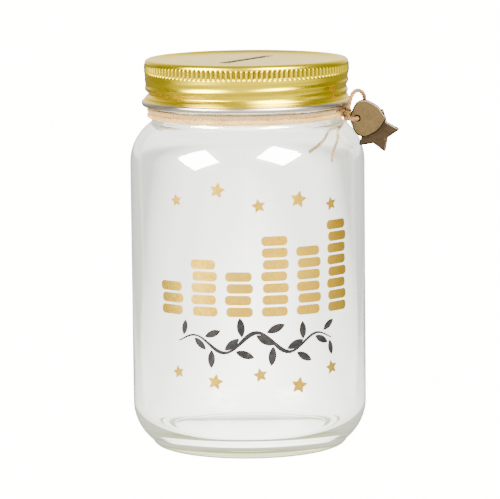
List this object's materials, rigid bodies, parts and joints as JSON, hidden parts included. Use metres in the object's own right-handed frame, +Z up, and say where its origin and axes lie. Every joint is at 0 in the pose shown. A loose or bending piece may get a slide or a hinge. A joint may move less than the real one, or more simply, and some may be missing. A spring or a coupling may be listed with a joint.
{
  "type": "coin bank jar",
  "caption": "Glass screw-top jar money bank with a slotted gold metal lid, neck twine, two small metal charms and a printed foil pattern.",
  "frame": {"origin": "on the jar's axis, in the plane that its foot stands on", "axes": "+Z up along the jar's axis; the printed front faces -Y; the charms hang at the +X side"},
  "size_m": [0.0949, 0.0833, 0.1378],
  "materials": {
    "clear_glass": "polished",
    "gold_lacquer": "glossy gold lacquer",
    "seal_compound": "matte",
    "jute_twine": "matte twisted",
    "antique_bronze": "satin antiqued",
    "gold_foil": "smooth foil",
    "black_ink": "printed"
  },
  "bodies": {
    "jar": {"glass_jar": "clear_glass", "neck_twine": "jute_twine", "twine_knot": "jute_twine", "charm_loop": "jute_twine", "long_tail": "jute_twine", "short_tail": "jute_twine", "tail_knot": "jute_twine", "jump_ring": "antique_bronze", "upper_foil_stars": "gold_foil", "lower_foil_stars": "gold_foil", "foil_coin_piles": "gold_foil", "ink_vine": "black_ink"},
    "lid_seal": {"sealing_ring": "seal_compound"},
    "lid": {"lid_shell": "gold_lacquer"},
    "heart": {"heart_charm": "antique_bronze"},
    "star": {"star_charm": "antique_bronze"}
  },
  "joints": [
    {"name": "lid_lift", "type": "slide", "parent": "jar", "child": "lid_seal", "axis": [0, 0, 1], "range_m": [0, 0.0178]},
    {"name": "lid_turn", "type": "hinge", "parent": "lid_seal", "child": "lid", "pos_m": [0, 0, 0.13], "axis": [0, 0, 1], "range_deg": [0, 1260]},
    {"name": "heart_swing", "type": "hinge", "parent": "jar", "child": "heart", "pos_m": [0.0386, -0.0124, 0.1171], "axis": [0, -1, 0], "range_deg": [0, 24]},
    {"name": "star_swing", "type": "hinge", "parent": "jar", "child": "star", "pos_m": [0.0386, -0.0106, 0.1171], "axis": [0, -1, 0], "range_deg": [0, 28]}
  ],
  "couplings": [
    {"joint": "lid_lift", "follows": "lid_turn", "m_per_rad": 0.00080851}
  ]
}
